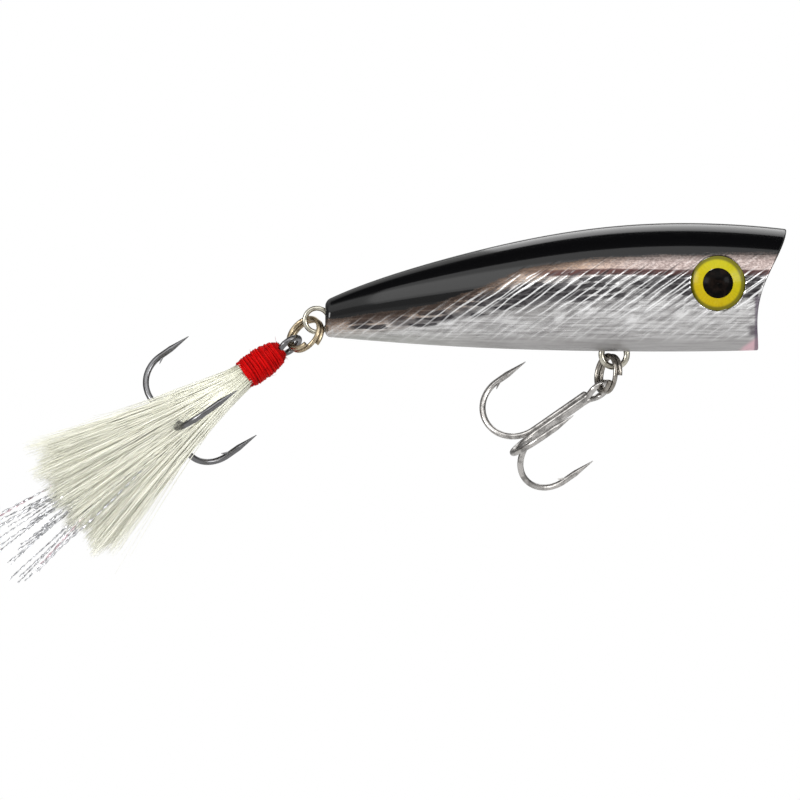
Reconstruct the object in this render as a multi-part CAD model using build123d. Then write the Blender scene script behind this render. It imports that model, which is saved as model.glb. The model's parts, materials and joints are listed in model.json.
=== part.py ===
from build123d import *
import os
from math import cos, radians, sin, sqrt

# A topwater popper: a hollow moulded body in two halves, wire hangers laid in the seam, split rings and two
# treble hooks, the rear one dressed with hair and flash. Millimetres, nose towards +X, back towards +Z, and
# the lure's right side towards -Y. The origin is the centre of the line tie's eye, in the mouth.

# ---- body shell ----
# station: (x, height of the back, height of the belly)
STATIONS = [
    (-57.4, -0.1, -5.1),
    (-52.0, 2.15, -5.55),
    (-44.0, 4.8, -6.15),
    (-35.0, 7.1, -6.65),
    (-25.0, 9.25, -6.98),
    (-15.0, 10.3, -7.1),
    (-6.0, 10.6, -7.12),
    (2.0, 10.15, -6.95),
    (8.0, 9.5, -6.7),
]
WIDTH_RATIO = 0.465  # half the width, over the whole height
WALL = 1.2
TAIL_EDGE_R = 0.7
LIP_CURVE = [(6.1, 9.74), (4.35, 5.1), (2.7, 1.2), (2.05, -3.9), (2.23, -6.95)]  # (x, z) of the mouth's edge
CUP_CENTRE = (4.0, 0.0, 1.5)
CUP_SEMI = (6.4, 6.7, 7.3)  # depth, half width, half height
CUP_LEAN = 13.0  # degrees the cup's axis points below the horizontal

# ---- hollow, ribs and bosses ----
HOLLOW_X = (-52.0, -0.5)
RIB = 1.0
BULKHEADS_X = (-41.6, -30.5, -11.0)
CRADLES_X = (-49.6, -44.6)
CHANNEL_X = (-33.5, -7.2)  # rattle channel, along the seam
CHANNEL_Z = 2.4
CHANNEL_BORE = 3.5
CHANNEL_WALL = 0.9
BOSS_R = 1.7
PIN_R = 0.8
PIN_LONG = 1.6
PIN_GAP = 0.05
PINS_XZ = [(-37.0, 3.3), (-24.5, -4.0), (-24.5, 7.0), (-8.5, -4.2), (-8.5, 8.2)]

# ---- loose and fixed weights ----
BALL_R = 1.6
BALLS_X = {"rattle_ball_front": -13.5, "rattle_ball_rear": -26.8}
SLUG_R = 2.1
SLUG_X = (-51.0, -42.2)
SLUG_Z = -1.9
SLUG_GAP = 0.05

# ---- eyes ----
EYE_X = -3.42
EYE_Z = 2.25
EYE_R = 3.75
EYE_SEAT_Y = 6.75  # distance of the socket floor from the seam
EYE_RIM_Y = 7.75
EYE_CROWN_Y = 8.75
PUPIL_R = 2.05
PUPIL_CROWN_Y = 9.05
PUPIL_CROWN_HIGH = 0.65
EYE_GAP = 0.04

# ---- wire hangers: a ring outside, two legs and an anchor ring inside ----
SEAT_GAP = 0.03
LEG_STEP = 0.9  # a leg's distance from the middle, over the wire's radius
TIE_WIRE_R = 0.4
TIE_RING_R = 1.4
TIE_ANCHOR_X = -7.4
BELLY_EYE = (-17.6, 0.0, -7.5)
BELLY_WIRE_R = 0.425
BELLY_RING_R = 1.75
BELLY_ANCHOR_Z = -2.2
TAIL_EYE = (-58.55, 0.0, -2.8)
TAIL_WIRE_R = 0.35
TAIL_RING_R = 1.65
TAIL_ANCHOR_X = -53.4
ANCHOR_RING_R = 1.3
ANCHOR_BLOCK = (2.6, 2.4)  # half length and half width of the block that grips an anchor ring

# ---- split rings ----
RING_WIRE_R = 0.33
RING_PITCH = 0.68
RING_TURNS = 1.94
SPLIT_R = 2.5

# ---- treble hooks ----
HOOK_WIRE_R = 0.425
SHANK_STEP = 0.88  # between the centres of two shanks that lie side by side
BEND_R = 4.55
EYE_HALF = 1.6  # half the width of the hook's eye, along the wire's centre
EYE_TOP = 1.185  # from the ring's wire to the top of the eye, along the wire's centre
EYE_FOOT = -3.0
SINGLE_TOP = -2.4
POINT_RISE = 9.8  # from the outside of the bend to the point
POINT_TAPER = 3.0
POINT_R = 0.05
BARB_ROOT = 5.9
BARB_TIP = 4.3
BARB_STAND = 0.45
BARB_HALF = 0.14
BELLY_HOOK_LONG = 17.6
TAIL_HOOK_LONG = 22.15

# ---- how the links hang ----
BELLY_LINK = 2.825  # from the hanger's centre to the split ring's centre
BELLY_LINK_TURN = 18.9  # degrees from straight down, towards the tail
BELLY_RING_LEAN = 7.6  # degrees the ring's plane leans towards the tail from straight down
BELLY_RING_TWIST = 64.0  # degrees between the ring's plane and the seam
BELLY_CONTACT = 232.0  # where the hook's eye meets the ring, round it from level
BELLY_HOOK_DROP = 34.8  # degrees below the horizontal
BELLY_HOOK_OUT = 4.8  # degrees towards the lure's right side
BELLY_HOOK_ROLL = -24.0
TAIL_LINK = 2.566
TAIL_LINK_TURN = 39.2
TAIL_RING_LEAN = 39.8
TAIL_RING_TWIST = 53.3
TAIL_CONTACT = 237.3
TAIL_HOOK_DROP = 35.15
TAIL_HOOK_OUT = 5.6
TAIL_HOOK_ROLL = -23.1

# ---- dressing on the tail hook: distances along the shank from the ring's wire ----
WRAP = [(1.45, 1.05), (2.6, 1.75), (4.6, 2.15), (6.9, 2.1), (8.15, 1.95)]  # (distance, radius)
HAIR_ROOT = 7.7
HAIR_LONG = 30.5
HAIR_ROOT_SIZE = (3.4, 1.8)  # depth, height of each tuft
HAIR_TIP_SIZE = {"hackle_upper": (3.4, 8.4), "hackle_lower": (3.4, 8.6)}
HAIR_TURN = {"hackle_upper": -5.9, "hackle_lower": 8.4}  # degrees below the shank's line
HAIR_SIDE = {"hackle_upper": 0.95, "hackle_lower": -0.95}
FLASH_LONG = 42.0
FLASH_TURN = 1.6
FLASH_ROOT_SIZE = (0.8, 1.6)
FLASH_TIP_SIZE = (3.0, 13.0)


def section(x, top, bottom, inset):
    """One oval section of the body across X, drawn in from the outside by inset."""
    height = top - bottom
    plane = Plane(origin=(x, 0, (top + bottom) / 2), x_dir=(0, 1, 0), z_dir=(1, 0, 0))
    return plane * Ellipse(height * WIDTH_RATIO - inset, height / 2 - inset)


def hull(inset):
    return loft([section(x, top, bottom, inset) for x, top, bottom in STATIONS])


def slab(x, thick):
    return Pos(x, 0, 0) * Box(thick, 40, 40)


def span(low, high):
    """A block that holds everything from x = low to x = high."""
    return Pos((low + high) / 2, 0, 0) * Box(high - low, 40, 40)


def rod(start, end, radius):
    """A round bar from start to end."""
    line = Vector(*end) - Vector(*start)
    return extrude(Plane(origin=start, z_dir=line) * Rot(0, 0, 45) * Circle(radius), line.length)


def wire(path, radius):
    return sweep(Plane(origin=path @ 0, z_dir=path % 0) * Circle(radius), path=path)


def seam_ring(centre, ring_r, wire_r):
    """A wire ring that lies in the seam plane."""
    round_wire = Plane(origin=(ring_r, 0, 0), x_dir=(1, 1, 0), z_dir=(0, 0, 1)) * Circle(wire_r)
    return Pos(*centre) * revolve(round_wire, Axis.Y)


def hanger(eye, ring_r, anchor, wire_r):
    """An eye and an anchor ring, both in the seam plane, joined by two legs side by side."""
    eye, anchor = Vector(*eye), Vector(*anchor)
    along = (anchor - eye).normalized()
    across = along.cross(Vector(0, 1, 0)) * wire_r * LEG_STEP
    shape = seam_ring(eye, ring_r, wire_r) + seam_ring(anchor, ANCHOR_RING_R, wire_r)
    for side in (-1, 1):
        start = eye + along * ring_r + across * side
        end = anchor - along * ANCHOR_RING_R + across * side
        shape += rod(start, end, wire_r)
    return shape


def line_tie(gap=0.0):
    return hanger((0, 0, 0), TIE_RING_R, (TIE_ANCHOR_X, 0, 0), TIE_WIRE_R + gap)


def belly_hanger(gap=0.0):
    x, y, z = BELLY_EYE
    return hanger(BELLY_EYE, BELLY_RING_R, (x, y, BELLY_ANCHOR_Z), BELLY_WIRE_R + gap)


def tail_hanger(gap=0.0):
    x, y, z = TAIL_EYE
    return hanger(TAIL_EYE, TAIL_RING_R, (TAIL_ANCHOR_X, y, z), TAIL_WIRE_R + gap)


def channel_walls():
    """The square channel that the rattle balls roll in, with a wall half way."""
    low, high = CHANNEL_X
    outside = CHANNEL_BORE + 2 * CHANNEL_WALL
    return Pos((low + high) / 2, 0, CHANNEL_Z) * Box(high - low, outside, outside)


def channel_cells():
    low, high = CHANNEL_X
    middle = (low + high) / 2
    cells = []
    for start, end in ((low + RIB, middle - RIB / 2), (middle + RIB / 2, high - RIB)):
        cell = Box(end - start, CHANNEL_BORE, CHANNEL_BORE)
        cells.append(Pos((start + end) / 2, 0, CHANNEL_Z) * cell)
    return cells


def structure():
    """Everything that stands inside the shell: bulkheads, cradles, bosses, blocks and the rattle channel."""
    shape = channel_walls()
    for x in BULKHEADS_X:
        shape += slab(x, RIB)
    for x in CRADLES_X:
        shape += slab(x, RIB)
    for x, z in PINS_XZ:
        shape += rod((x, -20, z), (x, 20, z), BOSS_R)
    half_long, half_wide = ANCHOR_BLOCK
    x, y, z = BELLY_EYE
    block_low, block_high = z, BELLY_ANCHOR_Z + half_long
    block = Box(2 * half_long, 2 * half_wide, block_high - block_low)
    shape += Pos(x, 0, (block_low + block_high) / 2) * block
    shape += Pos(TIE_ANCHOR_X + 1, 0, 0) * Box(2 * half_long + 2, 2 * half_wide, 2 * half_long)
    for side in (-1, 1):
        start, end = side * (EYE_SEAT_Y - WALL), side * 20
        shape += rod((EYE_X, start, EYE_Z), (EYE_X, end, EYE_Z), EYE_R + WALL)
    return shape


def mouth():
    """What is cut away in front: the swept edge of the lip and the cup behind it."""
    curve = Spline(*[(x, 0, z) for x, z in LIP_CURVE])
    top, bottom = curve @ 0, curve @ 1
    far_x, over = 20, 4
    outline = Polyline(
        (bottom.X, 0, bottom.Z),
        (bottom.X, 0, bottom.Z - over),
        (far_x, 0, bottom.Z - over),
        (far_x, 0, top.Z + over),
        (top.X, 0, top.Z + over),
        (top.X, 0, top.Z),
    )
    face = make_face([*curve.edges(), *outline.edges()])
    front = extrude(face, 20, dir=(0, 1, 0), both=True)
    cup = Pos(*CUP_CENTRE) * Rot(0, CUP_LEAN, 0) * scale(Sphere(1), CUP_SEMI)
    return front, cup


def body_blank():
    """The whole body, hollowed and bored, before it is cut at the seam."""
    outside = hull(0)
    tail = outside.faces().sort_by(Axis.X)[0]
    outside = fillet(tail.edges(), TAIL_EDGE_R)
    hollow = (hull(WALL) & span(*HOLLOW_X)) - structure()
    front, cup = mouth()
    cup_wall = Pos(*CUP_CENTRE) * Rot(0, CUP_LEAN, 0) * scale(Sphere(1), tuple(s + WALL for s in CUP_SEMI))
    blank = outside - (hollow - cup_wall) - front - cup
    for cell in channel_cells():
        blank -= cell
    blank -= rod((SLUG_X[0] - SLUG_GAP, 0, SLUG_Z), (SLUG_X[1] + SLUG_GAP, 0, SLUG_Z), SLUG_R + SLUG_GAP)
    for side in (-1, 1):
        start, end = side * EYE_SEAT_Y, side * 20
        blank -= rod((EYE_X, start, EYE_Z), (EYE_X, end, EYE_Z), EYE_R + EYE_GAP)
    return blank


def body_halves():
    blank = body_blank()
    right = blank & (Pos(-25, -20, 0) * Box(120, 40, 60))
    left = blank & (Pos(-25, 20, 0) * Box(120, 40, 60))
    for groove in (line_tie(SEAT_GAP), belly_hanger(SEAT_GAP), tail_hanger(SEAT_GAP)):
        right -= groove
        left -= groove
    for x, z in PINS_XZ:
        right += rod((x, -1, z), (x, PIN_LONG, z), PIN_R)
        left -= rod((x, -1, z), (x, PIN_LONG + 4 * PIN_GAP, z), PIN_R + PIN_GAP)
    return {"body_half_right": right, "body_half_left": left}


def dome(edge_r, edge_y, crown_y):
    """A ball whose cap rises from edge_y to crown_y over a circle of radius edge_r, crown along +Z."""
    rise = crown_y - edge_y
    radius = (edge_r**2 + rise**2) / (2 * rise)
    return Pos(0, 0, crown_y - radius) * Sphere(radius)


def eye_pieces():
    """The domed ring and the pupil set in it, for each side. Drawn along +Z, then laid over to the side."""
    base = Pos(0, 0, EYE_SEAT_Y) * Cylinder(EYE_R, 6, align=(Align.CENTER, Align.CENTER, Align.MIN))
    hole = Pos(0, 0, EYE_SEAT_Y) * Cylinder(PUPIL_R + EYE_GAP, 12)
    ring = (base & dome(EYE_R, EYE_RIM_Y, EYE_CROWN_Y)) - hole
    stem = Pos(0, 0, EYE_SEAT_Y) * Cylinder(PUPIL_R, 6, align=(Align.CENTER, Align.CENTER, Align.MIN))
    pupil = stem & dome(PUPIL_R, PUPIL_CROWN_Y - PUPIL_CROWN_HIGH, PUPIL_CROWN_Y)
    pieces = {}
    for name, turn in (("right", 90), ("left", -90)):
        place = Pos(EYE_X, 0, EYE_Z) * Rot(turn, 0, 0)
        pieces[f"eye_iris_{name}"] = place * ring
        pieces[f"eye_pupil_{name}"] = place * pupil
    return pieces


def split_ring(radius):
    """A double coil of round wire about Z, its turns all but touching."""
    high = RING_PITCH * RING_TURNS
    path = Helix(RING_PITCH, high, radius, center=(0, 0, -high / 2))
    return sweep(Plane(origin=path @ 0, z_dir=path % 0) * Circle(RING_WIRE_R), path=path, is_frenet=True)


def hook_bend(angle, centre_z):
    """The bend, point and barb of one hook, out from its shank in the direction of angle about Z."""
    shank = SHANK_STEP / sqrt(3)
    mid = shank + BEND_R
    low = centre_z - BEND_R - HOOK_WIRE_R
    bottom = Vector(mid, 0, centre_z - BEND_R)
    turned = Vector(mid + BEND_R, 0, centre_z)
    base = Vector(turned.X, 0, low + POINT_RISE - POINT_TAPER)
    bend = ThreePointArc((shank, 0, centre_z), bottom, turned)
    shape = wire(bend, HOOK_WIRE_R) + rod(turned, base, HOOK_WIRE_R)
    thick = Pos(*base) * Circle(HOOK_WIRE_R)
    sharp = Pos(*base) * Pos(0, 0, POINT_TAPER) * Circle(POINT_R)
    shape += loft([thick, sharp])
    inner = turned.X - HOOK_WIRE_R
    barb = Polyline(
        (inner + 0.35, 0, low + BARB_ROOT),
        (inner - BARB_STAND, 0, low + BARB_TIP),
        (inner + 0.3, 0, low + BARB_TIP + 0.75),
        close=True,
    )
    shape += extrude(make_face(barb.edges()), BARB_HALF, dir=(0, 1, 0), both=True)
    return Rot(0, 0, angle) * shape


def shank_at(angle):
    reach = SHANK_STEP / sqrt(3)
    return reach * cos(radians(angle)), reach * sin(radians(angle))


def hook_pair(long):
    """One wire that makes the eye in the middle and a hook at each end. The eye's plane is X-Z."""
    centre_z = EYE_TOP + HOOK_WIRE_R - long + BEND_R + HOOK_WIRE_R
    x, y = shank_at(-30)
    shoulder = EYE_TOP - EYE_HALF
    crown = ThreePointArc((-EYE_HALF, y, shoulder), (0, y, EYE_TOP), (EYE_HALF, y, shoulder))
    shape = wire(crown, HOOK_WIRE_R)
    for side, angle in ((1, -30), (-1, -150)):
        down = Vector(0, 0, -1)
        neck = Spline((side * EYE_HALF, y, shoulder), (side * x, y, EYE_FOOT), tangents=(down, down))
        shape += wire(neck, HOOK_WIRE_R)
        shape += rod((side * x, y, EYE_FOOT), (side * x, y, centre_z), HOOK_WIRE_R)
        shape += hook_bend(angle, centre_z)
    return shape


def hook_single(long):
    """The third hook, whose shank lies in the groove between the other two."""
    centre_z = EYE_TOP + HOOK_WIRE_R - long + BEND_R + HOOK_WIRE_R
    x, y = shank_at(90)
    shape = rod((x, y, SINGLE_TOP), (x, y, centre_z), HOOK_WIRE_R)
    return shape + Pos(x, y, SINGLE_TOP) * Sphere(HOOK_WIRE_R) + hook_bend(90, centre_z)


def treble_place(contact, drop, out, roll):
    """A treble's place: the shank leads down and back from contact, the single hook is rolled from upright."""
    drop, out, roll = radians(drop), radians(out), radians(roll)
    shank = Vector(-cos(drop) * cos(out), -sin(out), -sin(drop) * cos(out))
    upright = Vector(-sin(drop), 0, cos(drop))
    outward = upright.cross(shank)
    single = upright * cos(roll) + outward * sin(roll)
    return Plane(origin=contact, x_dir=single.cross(-shank), z_dir=-shank)


def ring_place(eye, link, turn, lean, twist):
    """A split ring's place, link away from the eye's centre at turn from straight down."""
    turn, lean, twist = radians(turn), radians(lean), radians(twist)
    centre = Vector(*eye) + Vector(-sin(turn), 0, -cos(turn)) * link
    down = Vector(-sin(lean), 0, -cos(lean))
    level = Vector(cos(twist) * cos(lean), -sin(twist), -cos(twist) * sin(lean))
    return Plane(origin=centre, x_dir=level, z_dir=down.cross(level))


def on_ring(place, radius, angle):
    """The point on a ring's centre line at angle, where a treble hangs and turns about the wire."""
    angle = radians(angle)
    return place.origin + (place.x_dir * cos(angle) + place.y_dir * sin(angle)) * radius


def wrap():
    """The barrel of thread round the shank, about Z."""
    last, first = -WRAP[-1][0], -WRAP[0][0]
    outline = Spline(*[(radius, 0, -distance) for distance, radius in WRAP])
    edges = Polyline((WRAP[-1][1], 0, last), (0, 0, last), (0, 0, first), (WRAP[0][1], 0, first))
    return revolve(make_face([*outline.edges(), *edges.edges()]), Axis.Z)


def fan(root, tip, long, turn, side):
    """A flat tuft that widens from root to tip, both (depth, height), leaving the wrap at an angle."""
    begin, end = Rectangle(*root), Pos(0, 0, long) * Rectangle(*tip)
    tuft = loft([begin, end])
    return Pos(0, side, -HAIR_ROOT) * Rot(180 - turn, 0, 0) * tuft


def dressing(place):
    """The hair and the flash. Local X is across the lure and local Y is up in the plane of the shank."""
    pieces = {}
    for name, turn in HAIR_TURN.items():
        tuft = fan(HAIR_ROOT_SIZE, HAIR_TIP_SIZE[name], HAIR_LONG, turn, HAIR_SIDE[name])
        pieces[name] = place * tuft
    pieces["flash_strands"] = place * fan(FLASH_ROOT_SIZE, FLASH_TIP_SIZE, FLASH_LONG, FLASH_TURN, 0)
    return pieces


def model():
    nodes = dict(body_halves())
    nodes["line_tie"] = line_tie()
    nodes["belly_hanger"] = belly_hanger()
    nodes["tail_hanger"] = tail_hanger()
    nodes.update(eye_pieces())
    nodes["tail_ballast"] = rod((SLUG_X[0], 0, SLUG_Z), (SLUG_X[1], 0, SLUG_Z), SLUG_R)
    for name, x in BALLS_X.items():
        nodes[name] = Pos(x, 0, CHANNEL_Z) * Sphere(BALL_R)

    ring = ring_place(BELLY_EYE, BELLY_LINK, BELLY_LINK_TURN, BELLY_RING_LEAN, BELLY_RING_TWIST)
    nodes["belly_split_ring"] = ring * split_ring(SPLIT_R)
    contact = on_ring(ring, SPLIT_R, BELLY_CONTACT)
    place = treble_place(contact, BELLY_HOOK_DROP, BELLY_HOOK_OUT, BELLY_HOOK_ROLL)
    nodes["belly_hook_pair"] = place * hook_pair(BELLY_HOOK_LONG)
    nodes["belly_hook_single"] = place * hook_single(BELLY_HOOK_LONG)

    ring = ring_place(TAIL_EYE, TAIL_LINK, TAIL_LINK_TURN, TAIL_RING_LEAN, TAIL_RING_TWIST)
    nodes["tail_split_ring"] = ring * split_ring(SPLIT_R)
    contact = on_ring(ring, SPLIT_R, TAIL_CONTACT)
    place = treble_place(contact, TAIL_HOOK_DROP, TAIL_HOOK_OUT, TAIL_HOOK_ROLL)
    nodes["tail_hook_pair"] = place * hook_pair(TAIL_HOOK_LONG)
    nodes["tail_hook_single"] = place * hook_single(TAIL_HOOK_LONG)
    nodes["thread_wrap"] = place * wrap()
    upright = treble_place(contact, TAIL_HOOK_DROP, TAIL_HOOK_OUT, 0)
    nodes.update(dressing(upright))
    return nodes


os.makedirs("parts", exist_ok=True)
for name, shape in model().items():
    export_step(shape, f"parts/{name}.step")
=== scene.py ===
import json
import math

import bpy
import numpy as np
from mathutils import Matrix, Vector


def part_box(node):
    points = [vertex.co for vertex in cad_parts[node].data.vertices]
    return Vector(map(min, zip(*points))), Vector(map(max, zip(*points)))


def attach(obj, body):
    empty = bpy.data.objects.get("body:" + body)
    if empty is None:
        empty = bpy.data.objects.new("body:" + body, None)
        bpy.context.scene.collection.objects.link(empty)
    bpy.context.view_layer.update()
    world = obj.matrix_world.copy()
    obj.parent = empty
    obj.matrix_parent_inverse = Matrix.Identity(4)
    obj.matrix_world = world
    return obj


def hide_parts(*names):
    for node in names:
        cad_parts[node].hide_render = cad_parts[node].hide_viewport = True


# The looks of a topwater popper. Lengths in this file are millimetres in the row's frame, nose towards +X and
# the right side towards -Y, and become metres when a mesh is made.

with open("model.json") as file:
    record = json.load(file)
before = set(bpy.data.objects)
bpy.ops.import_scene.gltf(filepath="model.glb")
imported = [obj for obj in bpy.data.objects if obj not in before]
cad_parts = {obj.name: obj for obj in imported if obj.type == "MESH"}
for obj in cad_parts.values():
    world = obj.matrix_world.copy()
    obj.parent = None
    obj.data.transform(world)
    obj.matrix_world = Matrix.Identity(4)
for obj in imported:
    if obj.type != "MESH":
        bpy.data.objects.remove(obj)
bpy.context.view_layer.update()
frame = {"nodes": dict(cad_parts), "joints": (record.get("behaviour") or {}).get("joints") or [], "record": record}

MM = 0.001
SEED = 41

# ---- camera and stage ----
VIEW_CENTRE = (-47.1, 0.0, -13.8)
VIEW_WIDTH = 110.2
VIEW_DISTANCE = 3000.0
SENSOR = 36.0
FLOOR_RADIUS = 230.0
FLOOR_Z = -78.0

# ---- body: (x, height of the back, height of the belly), as in the frame ----
STATIONS = [
    (-57.4, -0.1, -5.1),
    (-52.0, 2.15, -5.55),
    (-44.0, 4.8, -6.15),
    (-35.0, 7.1, -6.65),
    (-25.0, 9.25, -6.98),
    (-15.0, 10.3, -7.1),
    (-6.0, 10.6, -7.12),
    (2.0, 10.15, -6.95),
    (8.0, 9.5, -6.7),
]
WIDTH_RATIO = 0.465
TAIL_EDGE_R = 0.7
LIP_EDGE_R = 0.22
LIP_CURVE = [(6.1, 9.74), (4.35, 5.1), (2.7, 1.2), (2.05, -3.9), (2.23, -6.95)]
CUP_CENTRE = np.array([4.0, 0.0, 1.5])
CUP_SEMI = np.array([6.4, 6.7, 7.3])
CUP_LEAN = 13.0
ROWS_LONG = 500
ROWS_ROUND = 180
SEAT_R = 3.79
SEAT_DEEP_Y = 6.75  # distance of the eye seat's floor from the seam
# lower edge of the black back: (x, z)
BACK_EDGE = [
    (-57.4, -2.7),
    (-52.0, -2.05),
    (-47.6, -1.55),
    (-42.0, -0.45),
    (-38.0, 0.95),
    (-34.6, 2.3),
    (-30.2, 4.3),
    (-25.8, 5.0),
    (-21.3, 5.6),
    (-17.0, 5.87),
    (-8.2, 6.2),
    (8.0, 6.45),
]
# the line along which the dark dashes, a painted dark reflection on the foil, are thickest: (x, z)
REFLECTION_DASH_LINE = [
    (-57.0, -3.0),
    (-50.0, -2.6),
    (-42.0, -1.5),
    (-34.0, 0.2),
    (-26.0, 1.4),
    (-20.0, 1.9),
    (-10.0, 2.2),
    (6.0, 2.3),
]
HATCH_RISE = 35.0
HATCH_PITCH = 1.9
LINE_PITCH = 0.98
REFLECTION_DASH_PITCH = 0.85
REFLECTION_DASH_SLOPE = 0.05
# height of the thin dark red line on the flank, a painted dark reflection
REFLECTION_LINE_Z = 4.0
HATCH_HIGH = 0.05

# ---- rear treble's dressing, measured along the shank from the ring's wire ----
SHANK_DROP = 35.15
SHANK_OUT = 5.6
WRAP_PROFILE = [(1.45, 1.0), (2.0, 1.5), (2.6, 1.75), (4.6, 2.12), (6.9, 2.08), (8.0, 1.93), (8.15, 1.5)]
# the thread's layers: (turns, height over the profile, first and last place along the shank)
WRAP_LAYERS = [(29, -0.02, 1.5, 8.1), (16, 0.08, 2.2, 7.9), (9, 0.12, 7.7, 3.0)]
THREAD_R = 0.13
HAIR_ROOT = 7.6
HAIR_LONG = 31.6
FLASH_LONG = 43.5


# ------------------------------------------------------------------ meshes
def new_mesh(name, verts, faces, material, smooth=True):
    """A mesh object from points in millimetres."""
    mesh = bpy.data.meshes.new(name)
    mesh.from_pydata((np.asarray(verts) * MM).tolist(), [], np.asarray(faces).tolist())
    mesh.polygons.foreach_set("use_smooth", [smooth] * len(mesh.polygons))
    mesh.materials.append(material)
    mesh.update()
    piece = bpy.data.objects.new(name, mesh)
    bpy.context.scene.collection.objects.link(piece)
    return piece


def point_values(piece, name, values):
    """Stores one number per vertex for the material to read."""
    attribute = piece.data.attributes.new(name, "FLOAT", "POINT")
    attribute.data.foreach_set("value", np.asarray(values, np.float32))


def unit(vectors):
    return vectors / np.maximum(np.linalg.norm(vectors, axis=-1, keepdims=True), 1e-12)


def tubes(paths, radii, sides, reference):
    """Round tubes along paths (count, steps, 3), with radii (count, steps). Returns points and quads."""
    count, steps, _ = paths.shape
    along = unit(np.gradient(paths, axis=1))
    across = unit(np.cross(along, reference))
    other = np.cross(along, across)
    turn = np.arange(sides) * 2 * np.pi / sides
    ring = across[:, :, None] * np.cos(turn)[:, None] + other[:, :, None] * np.sin(turn)[:, None]
    points = paths[:, :, None] + ring * radii[:, :, None, None]
    index = np.arange(count * steps * sides).reshape(count, steps, sides)
    turned = np.roll(index, -1, axis=2)
    quads = np.stack([index[:, :-1], turned[:, :-1], turned[:, 1:], index[:, 1:]], axis=-1)
    return points.reshape(-1, 3), quads.reshape(-1, 4)


# ------------------------------------------------------------------ shader nodes
class Shader:
    """A material's node tree, built with short calls."""

    def __init__(self, name):
        self.material = bpy.data.materials.new(name)
        self.material.use_nodes = True
        self.tree = self.material.node_tree
        self.tree.nodes.clear()
        self.out = self.node("OutputMaterial")
        self.bsdf = self.node("BsdfPrincipled")
        self.link(self.bsdf.outputs[0], self.out.inputs["Surface"])

    def node(self, kind, **settings):
        made = self.tree.nodes.new("ShaderNode" + kind)
        for key, value in settings.items():
            setattr(made, key, value)
        return made

    def link(self, source, target):
        self.tree.links.new(source, target)

    def put(self, value, target):
        if isinstance(value, bpy.types.NodeSocket):
            self.link(value, target)
        else:
            target.default_value = value

    def set(self, **values):
        """Sets or links the surface's own sockets, such as base_color or coat_weight."""
        for key, value in values.items():
            name = key.replace("_", " ").title().replace("Ior", "IOR")
            self.put(value, self.bsdf.inputs[name])

    def math(self, operation, first, second=0.0, third=0.0, clamp=False):
        made = self.node("Math", operation=operation, use_clamp=clamp)
        for value, target in zip((first, second, third), made.inputs):
            self.put(value, target)
        return made.outputs[0]

    def place(self):
        """Position in millimetres in the row's frame, as x, y and z."""
        source = self.node("TexCoord").outputs["Object"]
        scaled = self.node("VectorMath", operation="SCALE")
        self.link(source, scaled.inputs[0])
        scaled.inputs["Scale"].default_value = 1 / MM
        split = self.node("SeparateXYZ")
        self.link(scaled.outputs[0], split.inputs[0])
        return scaled.outputs[0], split.outputs

    def value(self, name):
        return self.node("Attribute", attribute_name=name).outputs["Fac"]

    def noise(self, vector, scale, detail=3.0, rough=0.55, stretch=None, distortion=0.0):
        made = self.node("TexNoise")
        if stretch is not None:
            mapping = self.node("Mapping")
            mapping.inputs["Scale"].default_value = stretch
            self.link(vector, mapping.inputs["Vector"])
            vector = mapping.outputs[0]
        self.link(vector, made.inputs["Vector"])
        made.inputs["Scale"].default_value = scale
        made.inputs["Detail"].default_value = detail
        made.inputs["Roughness"].default_value = rough
        made.inputs["Distortion"].default_value = distortion
        return made.outputs["Fac"]

    def step(self, value, low, high, to_low=0.0, to_high=1.0):
        """Rises smoothly from to_low to to_high as value goes from low to high."""
        made = self.node("MapRange", interpolation_type="SMOOTHSTEP")
        for source, target in zip((value, low, high, to_low, to_high), made.inputs):
            self.put(source, target)
        return made.outputs[0]

    def mix(self, factor, first, second, blend="MIX"):
        made = self.node("Mix", data_type="RGBA", blend_type=blend)
        self.put(factor, made.inputs["Factor"])
        for value, target in ((first, made.inputs[6]), (second, made.inputs[7])):
            self.put((*value, 1.0) if isinstance(value, tuple) else value, target)
        return made.outputs[2]

    def bump(self, height, strength, distance, under=None):
        made = self.node("Bump")
        made.inputs["Strength"].default_value = strength
        made.inputs["Distance"].default_value = distance * MM
        self.link(height, made.inputs["Height"])
        if under is not None:
            self.link(under, made.inputs["Normal"])
        return made.outputs[0]


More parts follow.
